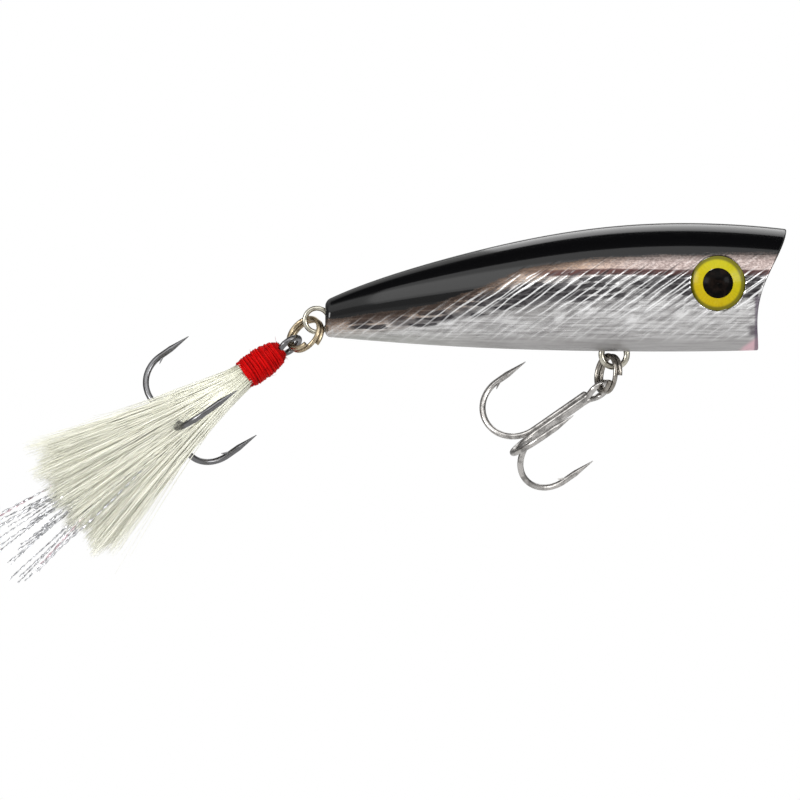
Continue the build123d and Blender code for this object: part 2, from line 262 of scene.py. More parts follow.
def body_finish():
    """Black back over bright foil with raised hatching, a pale grey belly and a rosy throat. The hatching's bright
    and dark sides, the dark dashes and the thin dark red line on the foil are painted highlight, shade and
    reflection.
    """
    sh = Shader("body_finish")
    vector, (x, _, z) = sh.place()
    above, hatch, inside = sh.value("above"), sh.value("hatch"), sh.value("inside")

    brushed = sh.noise(vector, 1.0, 4.0, 0.6, stretch=(0.16, 1.6, 3.4))
    fine = sh.noise(vector, 1.0, 2.0, 0.6, stretch=(0.35, 3.0, 10.0))
    cloud = sh.noise(vector, 0.22, 3.0, 0.5)
    grain = sh.noise(vector, 4.0, 2.0, 0.6)
    speck = sh.noise(vector, 1.0, 2.0, 0.6, stretch=(2.6, 2.6, 5.0))

    # position across and along the engraved lines, which rise towards the nose
    rise = math.radians(HATCH_RISE)
    across = sh.math("MULTIPLY", z, math.cos(rise))
    across = sh.math("SUBTRACT", across, sh.math("MULTIPLY", x, math.sin(rise)))
    along = sh.math("MULTIPLY", x, math.cos(rise))
    along = sh.math("ADD", along, sh.math("MULTIPLY", z, math.sin(rise)))
    slant = sh.node("CombineXYZ")
    sh.link(along, slant.inputs[0])
    sh.link(across, slant.inputs[1])
    slant = slant.outputs[0]
    wander = sh.noise(slant, 1.0, 2.0, 0.5, stretch=(0.14, 0.5, 1.0))
    turns = sh.math("DIVIDE", sh.math("ADD", across, sh.math("MULTIPLY", wander, 1.1)), LINE_PITCH)
    wave = sh.math("SINE", sh.math("MULTIPLY", turns, 2 * math.pi))
    broken = sh.noise(slant, 1.0, 2.0, 0.55, stretch=(0.42, 1.25, 1.0))
    below_back = sh.step(above, 0.15, -0.5)
    zone = sh.step(sh.value("row"), 0.08, 0.3)
    lined = sh.math("MULTIPLY", sh.math("MAXIMUM", sh.step(broken, 0.40, 0.56), zone), below_back)
    lined = sh.math("MULTIPLY", lined, sh.step(z, -6.2, -4.4))
    # the bright side of each slanting line is a painted highlight and the dark side a painted shade; the lines'
    # relief itself is real, in the mesh and the bump
    bright = sh.math("MULTIPLY", sh.step(wave, 0.66, 0.95), lined)
    dark = sh.math("MULTIPLY", sh.step(wave, -0.35, -0.8), lined)
    ridge = sh.math("MAXIMUM", bright, sh.step(hatch, 0.25, 0.8))

    silver = sh.mix(sh.step(brushed, 0.36, 0.64), (0.315, 0.308, 0.308), (0.56, 0.553, 0.555))
    rosy = sh.mix(sh.step(speck, 0.38, 0.62), (0.20, 0.158, 0.148), (0.345, 0.285, 0.268))
    upper = sh.step(z, 3.0, 4.4)
    foil = sh.mix(upper, silver, rosy)
    belly_tint = sh.mix(sh.step(x, -52.0, -30.0), (0.295, 0.298, 0.27), (0.305, 0.297, 0.297))
    belly = sh.step(sh.math("ADD", z, sh.math("MULTIPLY", cloud, 1.6)), -2.4, -6.0)
    foil = sh.mix(sh.math("MULTIPLY", belly, 0.8), foil, belly_tint)
    patch = sh.noise(slant, 1.0, 2.0, 0.5, stretch=(0.30, 0.55, 1.0))
    patch = sh.math("MULTIPLY", sh.step(patch, 0.54, 0.70, 0.0, 0.55), sh.step(z, -4.6, -2.2))
    patch = sh.math("MULTIPLY", patch, sh.step(upper, 0.0, 1.0, 1.0, 0.15))
    foil = sh.mix(patch, foil, (0.86, 0.855, 0.86))
    # darker foil over the flank towards the tail
    aft_darkening = sh.math("MULTIPLY", sh.step(x, -20.0, -28.0), sh.step(z, -3.2, -1.4))
    foil = sh.mix(sh.math("MULTIPLY", aft_darkening, 0.45), foil, (0.10, 0.092, 0.085))
    tan = sh.math("MULTIPLY", sh.step(above, -3.2, -0.6), sh.step(x, -12.0, -24.0))
    tan = sh.math("MULTIPLY", tan, sh.step(speck, 0.38, 0.58, 0.25, 0.85))
    foil = sh.mix(tan, foil, (0.34, 0.235, 0.165))

    # painted dark reflection: short level dashes with a darker mass among them, under a thin dark red line that is
    # a painted reflection too, cut by the painted highlights of the slanting lines
    drift = sh.noise(vector, 1.0, 1.0, 0.5, stretch=(0.16, 0.16, 0.16))
    level = sh.math("SUBTRACT", z, sh.math("MULTIPLY", x, REFLECTION_DASH_SLOPE))
    level = sh.math("DIVIDE", sh.math("ADD", level, sh.math("MULTIPLY", drift, 1.4)), REFLECTION_DASH_PITCH)
    rows = sh.step(sh.math("SINE", sh.math("MULTIPLY", level, 2 * math.pi)), -0.75, -0.35)
    gaps = sh.noise(vector, 1.0, 1.5, 0.5, stretch=(0.22, 0.22, 0.62))
    gaps = sh.step(sh.math("ADD", gaps, sh.math("MULTIPLY", sh.value("row"), 0.17)), 0.555, 0.60)
    painted_reflection_dash = sh.math("MULTIPLY", sh.math("MULTIPLY", rows, gaps), sh.step(sh.value("row"), 0.12, 0.3))
    shade = sh.noise(vector, 1.0, 2.0, 0.5, stretch=(0.16, 0.16, 0.55))
    shade = sh.math("MULTIPLY", sh.step(shade, 0.42, 0.52), sh.step(sh.value("row"), 0.2, 0.5))
    foil = sh.mix(sh.math("MULTIPLY", shade, 0.74), foil, (0.055, 0.053, 0.058))
    foil = sh.mix(sh.math("MULTIPLY", painted_reflection_dash, 0.93), foil, (0.026, 0.024, 0.027))
    # the thin dark red line: a painted dark reflection
    from_line = sh.math("ADD", z, sh.math("MULTIPLY", drift, 0.5))
    from_line = sh.math("ABSOLUTE", sh.math("SUBTRACT", from_line, REFLECTION_LINE_Z))
    painted_reflection_line = sh.math("MULTIPLY", sh.step(from_line, 0.55, 0.28), sh.step(x, -31.0, -26.0))
    painted_reflection_line = sh.math("MULTIPLY", painted_reflection_line, sh.step(brushed, 0.22, 0.42, 0.55, 1.0))
    foil = sh.mix(sh.math("MULTIPLY", painted_reflection_line, 0.95), foil, (0.055, 0.022, 0.021))

    quiet = sh.math("MULTIPLY", sh.step(upper, 0.0, 1.0, 1.0, 0.12), sh.step(z, -3.4, 0.6, 0.3, 1.0))
    # painted shade beside the slanting lines and a painted highlight along them, faint in the rosy band and low on
    # the flank
    foil = sh.mix(sh.math("MULTIPLY", sh.math("MULTIPLY", dark, 0.75), quiet), foil, (0.09, 0.085, 0.09))
    foil = sh.mix(sh.math("MULTIPLY", sh.math("MULTIPLY", ridge, 0.9), quiet), foil, (0.93, 0.93, 0.94))

    # brown speckle where the back is sprayed over the foil
    ragged = sh.math("ADD", above, sh.math("MULTIPLY", sh.math("SUBTRACT", brushed, 0.5), 1.1))
    ragged = sh.math("ADD", ragged, sh.math("MULTIPLY", sh.math("SUBTRACT", grain, 0.5), 0.5))
    brown = sh.math("MULTIPLY", sh.step(ragged, -1.7, -0.15), sh.step(x, -14.0, -30.0))
    foil = sh.mix(sh.math("MULTIPLY", brown, 0.75), foil, (0.10, 0.062, 0.045))
    # darker still towards the back's edge: the back's sprayed soft edge, deepened by a painted dark reflection
    # along the top of the rosy band
    foil = sh.mix(sh.step(ragged, -1.25, -0.1, 0.0, 0.7), foil, (0.030, 0.024, 0.021))
    back = sh.step(ragged, -0.22, 0.16)
    colour = sh.mix(back, foil, (0.0014, 0.0014, 0.0017))

    # the throat: a rosy corner under the mouth, a darker spot over it and a thin line up the mouth's edge
    corner = sh.math("SUBTRACT", sh.math("MULTIPLY", x, 0.705), z)
    corner = sh.math("ADD", corner, sh.math("MULTIPLY", cloud, 0.5))
    throat = sh.math("MULTIPLY", sh.step(corner, 6.45, 7.25), sh.step(x, -0.9, 0.3))
    colour = sh.mix(sh.math("MULTIPLY", throat, 0.85), colour, (0.62, 0.39, 0.44))
    throat_dark_spot = sh.math("MULTIPLY", sh.step(x, 0.5, 1.3), sh.step(z, -3.2, -3.9))
    throat_dark_spot = sh.math("MULTIPLY", throat_dark_spot, sh.step(z, -5.3, -4.7))
    colour = sh.mix(sh.math("MULTIPLY", throat_dark_spot, 0.75), colour, (0.08, 0.065, 0.08))
    edge = sh.math("MULTIPLY", sh.step(x, 1.5, 1.85), sh.step(z, 0.8, 0.0))
    colour = sh.mix(sh.math("MULTIPLY", edge, 0.75), colour, (0.11, 0.085, 0.12))
    cup = sh.mix(sh.step(z, -5.5, 2.0), (0.62, 0.36, 0.39), (0.74, 0.71, 0.70))
    cup = sh.mix(sh.step(z, 6.6, 8.4), cup, (0.02, 0.02, 0.022))
    colour = sh.mix(inside, colour, cup)

    painted = sh.math("MAXIMUM", back, sh.math("MAXIMUM", inside, throat))
    metal = sh.math("MULTIPLY", sh.math("SUBTRACT", 1.0, painted), 0.86)
    metal = sh.math("MULTIPLY", metal, sh.step(belly, 1.2, 0.0, 0.5, 1.0))
    rough = sh.math("ADD", sh.step(fine, 0.3, 0.7, 0.18, 0.30), sh.math("MULTIPLY", belly, 0.16))
    rough = sh.math("SUBTRACT", rough, sh.math("MULTIPLY", back, 0.06))
    sh.set(base_color=colour, metallic=metal, roughness=rough)
    sh.set(coat_weight=sh.step(back, 0.0, 1.0, 0.03, 0.7), coat_roughness=0.08, specular_ior_level=0.03)
    bare = sh.math("SUBTRACT", 1.0, painted)
    lines = sh.math("MULTIPLY", sh.math("ADD", brushed, sh.math("MULTIPLY", fine, 0.7)), bare)
    normal = sh.bump(lines, 0.5, 0.045)
    engraved = sh.math("MULTIPLY", sh.math("MULTIPLY", wave, lined), sh.math("MULTIPLY", bare, quiet))
    normal = sh.bump(engraved, 0.6, 0.035, normal)
    normal = sh.bump(sh.noise(vector, 1.6, 2.0), 0.25, 0.02, normal)
    sh.link(normal, sh.bsdf.inputs["Normal"])
    return sh.material


def nickel(name, tone, dark, rough_low, rough_high, tarnish, tail_tone=None):
    """Bright plate, worn darker in patches. Behind the body it takes tail_tone, where that is given."""
    sh = Shader(name)
    vector, (x, _, _) = sh.place()
    if tail_tone is not None:
        tone = sh.mix(sh.step(x, -54.0, -60.0), tone, tail_tone)
    patch = sh.noise(vector, 0.9, 4.0, 0.6)
    spots = sh.noise(vector, 6.0, 2.0, 0.5)
    worn = sh.math("MULTIPLY", sh.step(patch, 0.42, 0.68), tarnish)
    colour = sh.mix(worn, tone, dark)
    colour = sh.mix(sh.math("MULTIPLY", sh.step(spots, 0.6, 0.74), 0.15), colour, dark)
    rough = sh.math("ADD", sh.step(patch, 0.3, 0.7, rough_low, rough_high), sh.math("MULTIPLY", spots, 0.05))
    sh.set(base_color=colour, metallic=1.0, roughness=rough)
    sh.link(sh.bump(sh.noise(vector, 5.0, 2.0), 0.12, 0.008), sh.bsdf.inputs["Normal"])
    return sh.material


def iris_finish(centre):
    """Yellow under a clear dome: paler inside, amber low and behind as painted shade on the dome's lower back
    side, with a dark line round the edge that is painted shade where the eye meets its seat.
    """
    sh = Shader("eye_ring")
    _, (x, _, z) = sh.place()
    dx, dz = sh.math("SUBTRACT", x, centre[0]), sh.math("SUBTRACT", z, centre[2])
    radius = sh.math("SQRT", sh.math("ADD", sh.math("MULTIPLY", dx, dx), sh.math("MULTIPLY", dz, dz)))
    angle = sh.math("ARCTAN2", dz, dx)
    streak = sh.node("TexNoise", noise_dimensions="2D")
    polar = sh.node("CombineXYZ")
    sh.link(sh.math("MULTIPLY", angle, 9.0), polar.inputs[0])
    sh.link(sh.math("MULTIPLY", radius, 0.5), polar.inputs[1])
    sh.link(polar.outputs[0], streak.inputs["Vector"])
    streak.inputs["Scale"].default_value = 1.6
    # lemon towards the upper front and amber towards the lower back: painted light and shade across the dome
    low = sh.math("ADD", sh.math("MULTIPLY", dx, 0.55), sh.math("MULTIPLY", dz, 0.85))
    colour = sh.mix(sh.step(low, 3.2, -3.4), (0.35, 0.325, 0.002), (0.37, 0.265, 0.002))
    colour = sh.mix(sh.step(streak.outputs["Fac"], 0.42, 0.62, 0.0, 0.3), colour, (0.46, 0.37, 0.003))
    # a dark line round the edge, a little wider towards the nose: painted shade where the eye meets its seat
    edge = sh.step(sh.math("ADD", radius, sh.math("MULTIPLY", dx, 0.03)), 3.05, 3.45)
    colour = sh.mix(sh.math("MULTIPLY", edge, 0.9), colour, (0.09, 0.085, 0.006))
    sh.set(base_color=colour, roughness=sh.step(streak.outputs["Fac"], 0.3, 0.7, 0.26, 0.36))
    sh.set(coat_weight=0.12, coat_roughness=0.12, specular_ior_level=0.06)
    sh.link(sh.bump(streak.outputs["Fac"], 0.12, 0.02), sh.bsdf.inputs["Normal"])
    return sh.material


def pupil_finish():
    sh = Shader("eye_pupil")
    vector, _ = sh.place()
    mottle = sh.noise(vector, 1.1, 3.0)
    sh.set(base_color=sh.mix(sh.step(mottle, 0.4, 0.7), (0.001, 0.0008, 0.0008), (0.007, 0.004, 0.003)))
    sh.set(roughness=sh.step(mottle, 0.3, 0.7, 0.24, 0.36), coat_weight=0.02, coat_roughness=0.12)
    sh.set(specular_ior_level=0.03)
    sh.link(sh.bump(mottle, 0.08, 0.02), sh.bsdf.inputs["Normal"])
    return sh.material


def ballast_finish():
    sh = Shader("ballast")
    vector, _ = sh.place()
    scale = sh.noise(vector, 1.4, 4.0)
    sh.set(base_color=sh.mix(sh.step(scale, 0.35, 0.7), (0.30, 0.30, 0.31), (0.16, 0.15, 0.145)))
    sh.set(metallic=0.9, roughness=sh.step(scale, 0.3, 0.7, 0.35, 0.6))
    sh.link(sh.bump(scale, 0.4, 0.05), sh.bsdf.inputs["Normal"])
    return sh.material


def thread_finish():
    """Red thread under a thin lacquer, its fibres twisted along each turn."""
    sh = Shader("binding_thread")
    vector, _ = sh.place()
    tone = sh.value("tone")
    cloud = sh.noise(vector, 0.9, 3.0)
    fibre = sh.noise(vector, 9.0, 2.0, 0.6, distortion=1.0)
    colour = sh.mix(tone, (0.22, 0.001, 0.001), (0.47, 0.001, 0.001))
    colour = sh.mix(sh.step(cloud, 0.5, 0.72, 0.0, 0.6), colour, (0.15, 0.001, 0.002))
    colour = sh.mix(sh.step(fibre, 0.55, 0.75, 0.0, 0.3), colour, (0.58, 0.006, 0.005))
    sh.set(base_color=colour, roughness=sh.step(cloud, 0.3, 0.7, 0.5, 0.65))
    sh.set(coat_weight=0.01, coat_roughness=0.2, specular_ior_level=0.05)
    sh.link(sh.bump(fibre, 0.5, 0.03), sh.bsdf.inputs["Normal"])
    return sh.material


def hair_finish():
    """Creamy white hair: each hair has its own tone, and the roots are greener and darker."""
    sh = Shader("dressing_hair")
    vector, _ = sh.place()
    tone, run = sh.value("tone"), sh.value("run")
    colour = sh.mix(tone, (0.88, 0.875, 0.75), (0.95, 0.945, 0.85))
    colour = sh.mix(sh.step(run, 0.30, 0.0, 0.0, 0.9), colour, (0.56, 0.56, 0.45))
    band = sh.noise(vector, 0.8, 2.0)
    colour = sh.mix(sh.step(band, 0.55, 0.8, 0.0, 0.2), colour, (0.76, 0.78, 0.68))
    sh.set(base_color=colour, roughness=sh.step(band, 0.3, 0.7, 0.38, 0.5), specular_ior_level=0.45)
    return sh.material


def tinsel_finish():
    """Thin silver film, faintly rosy in places, creased across."""
    sh = Shader("tinsel")
    vector, _ = sh.place()
    tone = sh.value("tone")
    crease = sh.noise(vector, 2.4, 2.0)
    colour = sh.mix(sh.step(tone, 0.86, 0.96), (0.54, 0.545, 0.56), (0.64, 0.47, 0.51))
    # darker in the creases: painted shade
    colour = sh.mix(sh.step(crease, 0.5, 0.7, 0.0, 0.5), colour, (0.25, 0.26, 0.28))
    sh.set(base_color=colour, metallic=0.9, roughness=sh.step(crease, 0.3, 0.7, 0.12, 0.28))
    sh.link(sh.bump(crease, 0.3, 0.05), sh.bsdf.inputs["Normal"])
    return sh.material


def floor_finish():
    sh = Shader("floor")
    vector, _ = sh.place()
    grain = sh.noise(vector, 0.02, 3.0)
    sh.set(base_color=sh.mix(sh.step(grain, 0.3, 0.7), (0.86, 0.86, 0.86), (0.88, 0.88, 0.88)), roughness=0.9)
    return sh.material


# ------------------------------------------------------------------ body
station_x, station_top, station_low = np.array(STATIONS).T
top_curve = np.polynomial.Polynomial.fit(station_x, station_top, 6)
low_curve = np.polynomial.Polynomial.fit(station_x, station_low, 5)
lip_x, lip_z = np.array(LIP_CURVE).T
lip_curve = np.polynomial.Polynomial.fit(lip_z, lip_x, 4)


def oval(x, round_angle, inset=0.0, share=1.0):
    """Points of the body's section at x: round_angle is 0 at the side and 90 degrees at the back."""
    top, low = top_curve(x), low_curve(x)
    high = top - low
    y = (high * WIDTH_RATIO - inset) * share * np.cos(round_angle)
    z = (top + low) / 2 + (high / 2 - inset) * share * np.sin(round_angle)
    return np.stack([x + 0 * y, y, z], axis=-1)


def cup_local(points):
    """Points in the cup's own space, where it is the unit ball."""
    lean = math.radians(CUP_LEAN)
    axes = np.array([[math.cos(lean), 0, -math.sin(lean)], [0, 1, 0], [math.sin(lean), 0, math.cos(lean)]])
    return (points - CUP_CENTRE) @ axes.T / CUP_SEMI, axes


def cup_rows(edge, count):
    """Rows that run from the lip's inner edge to the bottom of the cup."""
    start, axes = cup_local(edge)
    bottom = np.array([-1.0, 0.0, 0.0])
    rows = []
    for share in np.linspace(0, 1, count)[1:]:
        direction = unit(start * (1 - share) + bottom * share)
        rows.append(direction * CUP_SEMI @ axes + CUP_CENTRE)
    return rows


def lip_rows(round_angle):
    """Where the outside of the body meets the mouth, and rows across the lip to the cup's edge."""
    x = np.full_like(round_angle, 3.0)
    for _ in range(30):
        x = lip_curve(oval(x, round_angle)[:, 2])

    def face(share, inset):
        """A point on the swept face of the lip, share of the way out from the middle."""
        at = x
        for _ in range(12):
            at = lip_curve(oval(at, round_angle, inset, share)[:, 2])
        return oval(at, round_angle, inset, share)

    low, high = np.full_like(x, 0.4), np.full_like(x, 1.0)
    for _ in range(30):
        middle = (low + high) / 2
        out = np.linalg.norm(cup_local(face(middle, LIP_EDGE_R))[0], axis=1) > 1
        high = np.where(out, middle, high)
        low = np.where(out, low, middle)
    edge_share = (low + high) / 2
    rounding = []
    for turn in np.radians(np.linspace(0, 90, 6))[1:]:
        inset = LIP_EDGE_R * (1 - math.cos(turn))
        back = LIP_EDGE_R * (1 - math.sin(turn))
        rounding.append(oval(x - back, round_angle, inset))
    flat = [face(1 + (edge_share - 1) * share, LIP_EDGE_R) for share in (0.33, 0.66, 1.0)]
    return x - LIP_EDGE_R, rounding, flat


def hatch_field(x, z, rng):
    """Raised lines that rise towards the nose, each with a groove under it: about -1 to 1."""
    rise = math.radians(HATCH_RISE)
    across = z * math.cos(rise) - x * math.sin(rise)
    along = x * math.cos(rise) + z * math.sin(rise)
    field = np.zeros_like(x)
    at = across.min() - 1
    while at < across.max() + 1:
        at += HATCH_PITCH * rng.uniform(0.62, 1.32)
        width = rng.uniform(0.10, 0.17)
        phase, beat = rng.uniform(0, 6.3, 2), rng.uniform(0.35, 0.75, 2)
        strength = rng.uniform(0.65, 1.0)
        wave = 0.62 + 0.38 * np.sin(along * beat[0] + phase[0]) * np.sin(along * beat[1] + phase[1])
        away = across - at - 0.06 * np.sin(along * 0.21 + phase[0])
        ridge = np.exp(-((away / width) ** 2))
        groove = np.exp(-(((away + 0.27) / 0.13) ** 2)) + 0.35 * np.exp(-(((away - 0.27) / 0.13) ** 2))
        field += strength * wave * (ridge - 0.85 * groove)
    return field


def smooth_step(value, low, high):
    share = np.clip((value - low) / (high - low), 0, 1)
    return share * share * (3 - 2 * share)


def body_half(name, side, material, eye):
    """The skin of one half, from the tail's end over the outside and the lip to the bottom of the cup."""
    round_angle = np.radians(np.linspace(-90, 90, ROWS_ROUND + 1))
    tail = STATIONS[0][0]
    shares = np.linspace(0.02, 1, 8)
    rows = [oval(np.full_like(round_angle, tail), round_angle, TAIL_EDGE_R, s) for s in shares]
    for turn in np.radians(np.linspace(0, 90, 9))[1:]:
        inset = TAIL_EDGE_R * (1 - math.sin(turn))
        x = tail + TAIL_EDGE_R * (1 - math.cos(turn))
        rows.append(oval(np.full_like(round_angle, x), round_angle, inset))
    front, rounding, flat = lip_rows(round_angle)
    start = tail + TAIL_EDGE_R
    for share in np.linspace(0, 1, ROWS_LONG + 1)[1:]:
        rows.append(oval(start + (front - start) * share, round_angle))
    outside_rows = len(rows)
    rows += rounding + flat
    inside_from = len(rows) - 1
    rows += cup_rows(flat[-1], 34)
    grid = np.array(rows)
    count = len(rows)

    rng = np.random.default_rng(SEED)
    x, z = grid[:, :, 0], grid[:, :, 2]
    edge = np.interp(x, *np.array(BACK_EDGE).T)
    above = z - edge
    fade = smooth_step(above, 0.25, -0.25) * smooth_step(z, -6.5, -4.2) * smooth_step(x, -57.0, -51.0)
    fade *= 1 - 0.45 * smooth_step(x, -40, -55)
    fade[outside_rows - 2 :] = 0
    hatch = np.clip(hatch_field(x, z, rng), -1, 1.2) * fade
    reflection_dash_x, reflection_dash_height = np.array(REFLECTION_DASH_LINE).T
    reflection_dash_z = np.interp(x, reflection_dash_x, reflection_dash_height)
    # row: the band where the painted dark reflection in dashes is thickest; the slanting lines' painted highlight
    # and shade show there too
    row = np.exp(-(((z - reflection_dash_z + 0.35) / 1.35) ** 2)) * fade
    inside = np.zeros_like(x)
    inside[inside_from:] = 1

    # outward normals of the grid, along which the lines are raised
    du = np.gradient(grid, axis=0)
    dv = np.gradient(grid, axis=1)
    normal = unit(np.cross(dv, du))
    relief = HATCH_HIGH * hatch
    seam = np.exp(-((grid[:, :, 1] / 0.09) ** 2)) * 0.035
    seam[outside_rows:] = 0
    grid = grid + normal * (relief - seam)[:, :, None]

    index = np.arange(count * (ROWS_ROUND + 1)).reshape(count, ROWS_ROUND + 1)
    quads = np.stack([index[:-1, :-1], index[1:, :-1], index[1:, 1:], index[:-1, 1:]], axis=-1).reshape(-1, 4)
    points = grid.reshape(-1, 3)

    # the round seat of the eye: faces inside it go, and its edge is drawn out to a true circle
    from_eye = points[:, [0, 2]] - np.array([eye[0], eye[2]])
    reach = np.linalg.norm(from_eye, axis=1)
    outer = np.zeros(len(points), bool)
    outer[: outside_rows * (ROWS_ROUND + 1)] = True
    hole = (reach < SEAT_R) & outer
    quads = quads[~hole[quads].any(axis=1)]
    sides = [quads[:, [k, (k + 1) % 4]] for k in range(4)]
    sides = np.sort(np.concatenate(sides), axis=1)
    used, times = np.unique(sides, axis=0, return_counts=True)
    rim_edges = used[times == 1]
    near = (reach < SEAT_R + 0.6) & outer
    rim_edges = rim_edges[near[rim_edges].all(axis=1)]
    rim = np.unique(rim_edges)
    points[rim[:, None], [0, 2]] = np.array([eye[0], eye[2]]) + from_eye[rim] / reach[rim, None] * SEAT_R
    wall = np.arange(len(rim)) + len(points)
    deep = points[rim].copy()
    deep[:, 1] = np.minimum(deep[:, 1], SEAT_DEEP_Y)
    where = {int(old): int(new) for old, new in zip(rim, wall)}
    seat = [(a, b, where[int(b)], where[int(a)]) for a, b in rim_edges]
    points = np.concatenate([points, deep])
    values = [np.concatenate([v.ravel(), v.ravel()[rim]]) for v in (above, hatch, row, inside)]
    quads = np.concatenate([quads, np.array(seat)])

    points[:, 1] *= side
    if side > 0:
        quads = quads[:, ::-1]
    piece = new_mesh(name, points, quads, material)
    for label, numbers in zip(("above", "hatch", "row", "inside"), values):
        point_values(piece, label, numbers)
    return piece


def make_body():
    finish = body_finish()
    for name, side, node in (("skin_right", -1, "body_half_right"), ("skin_left", 1, "body_half_left")):
        low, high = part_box("eye_iris_right")
        eye = np.array((low + high) / 2) / MM
        piece = body_half(name, side, finish, eye)
        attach(piece, "body")
        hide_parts(node)


# ------------------------------------------------------------------ rear dressing
def dressing_axes():
    """The ring's wire, the shank's direction, up in its plane, and across."""
    joint = next(j for j in frame["joints"] if j["name"] == "tail_treble_swing")
    drop, out = math.radians(SHANK_DROP), math.radians(SHANK_OUT)
    shank = np.array([-math.cos(drop) * math.cos(out), -math.sin(out), -math.sin(drop) * math.cos(out)])
    up = np.array([-math.sin(drop), 0.0, math.cos(drop)])
    up = unit(up - shank * (up @ shank))
    return np.array(joint["pos_m"]) / MM, shank, up, np.cross(shank, up)


def make_wrap(origin, shank, up, across, rng):
    """Thread wound over the shank in two layers, with loose ends at both sides."""
    distance, radius = np.array(WRAP_PROFILE).T
    paths, layer_shade_and_tone = [], []
    for layer, (turns, lift, start, end) in enumerate(WRAP_LAYERS):
        steps = turns * 40
        share = np.linspace(0, 1, steps)
        wander = 0.12 * np.sin(share * turns * 1.9 + layer) + 0.06 * np.sin(share * turns * 5.3)
        at = np.clip(start + (end - start) * share + wander * (layer > 0), 1.46, 8.14)
        turn = share * turns * 2 * np.pi + layer * 2.1
        out = np.interp(at, distance, radius) - THREAD_R + lift + 0.03 * np.sin(turn * 0.37 + layer)
        ring = up * np.cos(turn)[:, None] + across * np.sin(turn)[:, None]
        path = origin + shank * at[:, None] + ring * out[:, None]
        paths.append((path, np.full(steps, THREAD_R), 8))
        # inner layers darker and outer layers lighter: painted shade under the upper turns, with a slow swell of
        # tone along each turn
        layer_shade_and_tone.append(0.35 + 0.3 * layer + 0.2 * np.sin(turn * 0.21))
    for _ in range(24):
        steps = 9
        at = rng.choice([1.6, 2.6, 5.5, 7.6]) + rng.uniform(-0.4, 0.4)
        turn = rng.uniform(0, 2 * np.pi)
        ring = up * math.cos(turn) + across * math.sin(turn)
        share = np.linspace(0, 1, steps)[:, None]
        out = np.interp(at, distance, radius)
        lean = rng.normal(0, 1, 3)
        path = origin + shank * at + ring * (out + share * rng.uniform(0.2, 0.6))
        path = path + lean * share**2 * rng.uniform(0.1, 0.4)
        paths.append((path, np.linspace(0.03, 0.01, steps), 4))
        layer_shade_and_tone.append(np.full(steps, rng.uniform(0, 0.4)))
    points, quads, tone = [], [], []
    total = 0
    for (path, radii, sides), shade in zip(paths, layer_shade_and_tone):
        p, q = tubes(path[None], radii[None], sides, shank + 0.01)
        points.append(p)
        quads.append(q + total)
        tone.append(np.repeat(shade, sides))
        total += len(p)
    core_at = np.linspace(1.5, 8.12, 24)
    turn = np.arange(48) * 2 * np.pi / 48
    ring = up * np.cos(turn)[:, None] + across * np.sin(turn)[:, None]
    radii = np.interp(core_at, distance, radius) - THREAD_R
    core = origin + shank * core_at[:, None, None] + ring[None] * radii[:, None, None]
    index = np.arange(24 * 48).reshape(24, 48) + total
    turned = np.roll(index, -1, axis=1)
    points.append(core.reshape(-1, 3))
    quads.append(np.stack([index[:-1], turned[:-1], turned[1:], index[1:]], axis=-1).reshape(-1, 4))
    # the core under the turns is darkest: painted shade
    tone.append(np.full(24 * 48, 0.1))
    piece = new_mesh("wound_thread", np.concatenate(points), np.concatenate(quads), thread_finish())
    point_values(piece, "tone", np.concatenate(tone))
    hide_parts("thread_wrap")
    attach(piece, "tail_treble")


def bend_paths(root, leave, tip, steps):
    """Curves that start along leave and end at tip, one for each row."""
    share = np.linspace(0, 1, steps)[None, :, None]
    root, leave, tip = root[:, None], leave[:, None], tip[:, None]
    return root * (1 - share) ** 2 + (root + leave) * 2 * share * (1 - share) + tip * share**2


